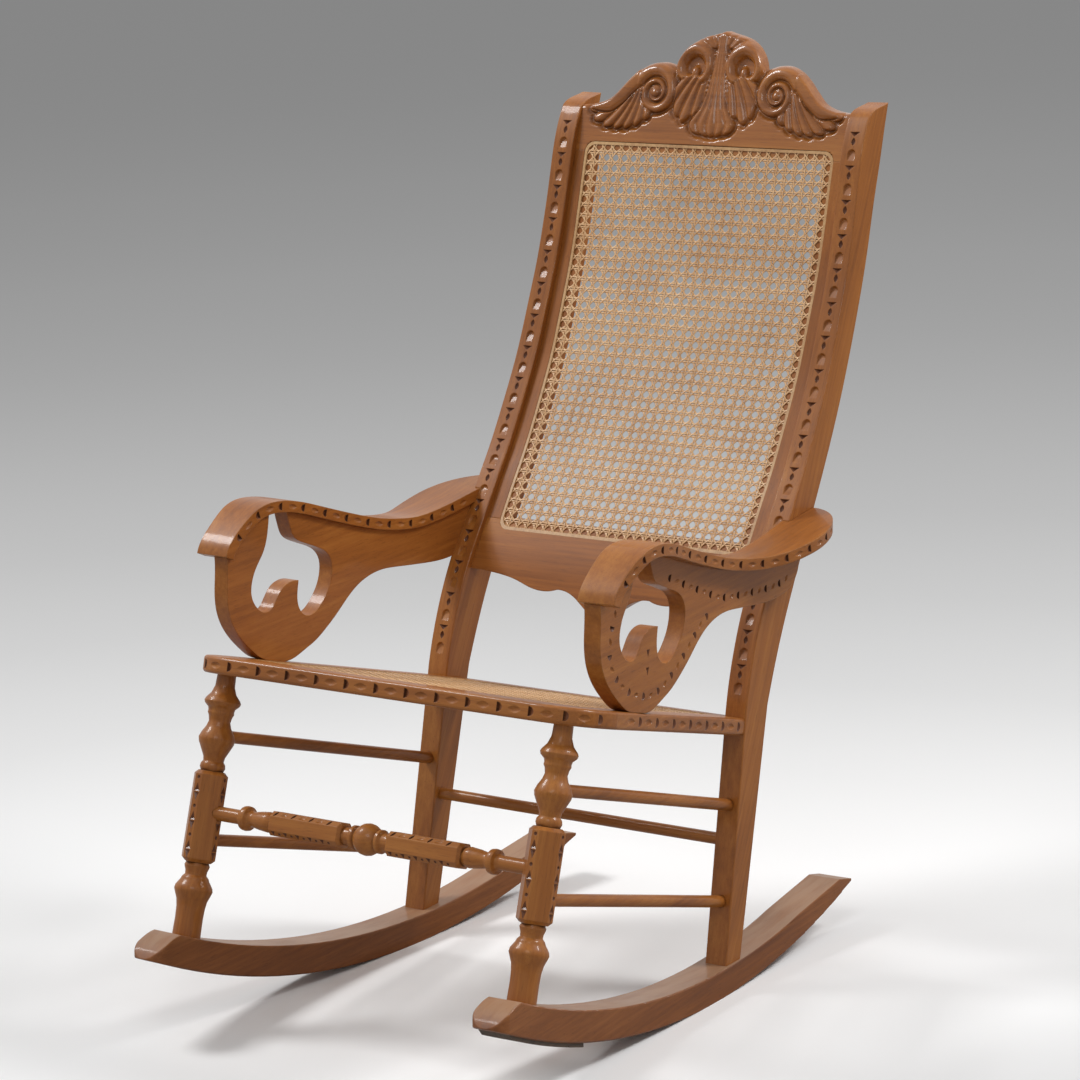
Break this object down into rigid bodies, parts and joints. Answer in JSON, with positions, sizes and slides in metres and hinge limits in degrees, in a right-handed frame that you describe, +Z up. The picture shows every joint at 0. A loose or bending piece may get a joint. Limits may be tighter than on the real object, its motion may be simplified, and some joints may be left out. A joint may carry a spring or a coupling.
{
  "type": "rocking chair",
  "caption": "Wooden rocking chair with caned seat and back, carved crest, scrolled arms on pierced panels, turned front legs and curved rockers.",
  "frame": {"origin": "middle of the chair's outline on the floor it rests on", "axes": "+X to the right as seen from the front, the front faces -Y, +Z up"},
  "size_m": [0.571, 0.8639, 1.0189],
  "materials": {
    "varnished_wood": "warm mid-brown wood under a glossy varnish",
    "woven_cane": "natural woven cane, satin",
    "cane_spline": "golden reed spline, satin",
    "dowel_wood": "bare pale wood",
    "strip_wood": "dull worn wood"
  },
  "bodies": {
    "root": {"arm_board_left": "varnished_wood", "arm_board_right": "varnished_wood", "arm_dowels": "dowel_wood", "arm_panel_left": "varnished_wood", "arm_panel_right": "varnished_wood", "back_bottom_rail": "varnished_wood", "back_cane_panel": "woven_cane", "back_cane_spline": "cane_spline", "back_dowels": "dowel_wood", "back_stile_left": "varnished_wood", "back_stile_right": "varnished_wood", "crest_rail": "varnished_wood", "front_leg_left": "varnished_wood", "front_leg_right": "varnished_wood", "front_stretcher": "varnished_wood", "rear_post_left": "varnished_wood", "rear_post_right": "varnished_wood", "rear_stretcher": "varnished_wood", "rocker_left": "varnished_wood", "rocker_right": "varnished_wood", "rocker_wear_strip_right": "strip_wood", "seat_cane_panel": "woven_cane", "seat_cane_spline": "cane_spline", "seat_dowels": "dowel_wood", "seat_front_rail": "varnished_wood", "seat_rear_rail": "varnished_wood", "seat_side_rail_left": "varnished_wood", "seat_side_rail_right": "varnished_wood", "side_stretcher_lower_left": "varnished_wood", "side_stretcher_lower_right": "varnished_wood", "side_stretcher_upper_left": "varnished_wood", "side_stretcher_upper_right": "varnished_wood"}
  },
  "joints": []
}
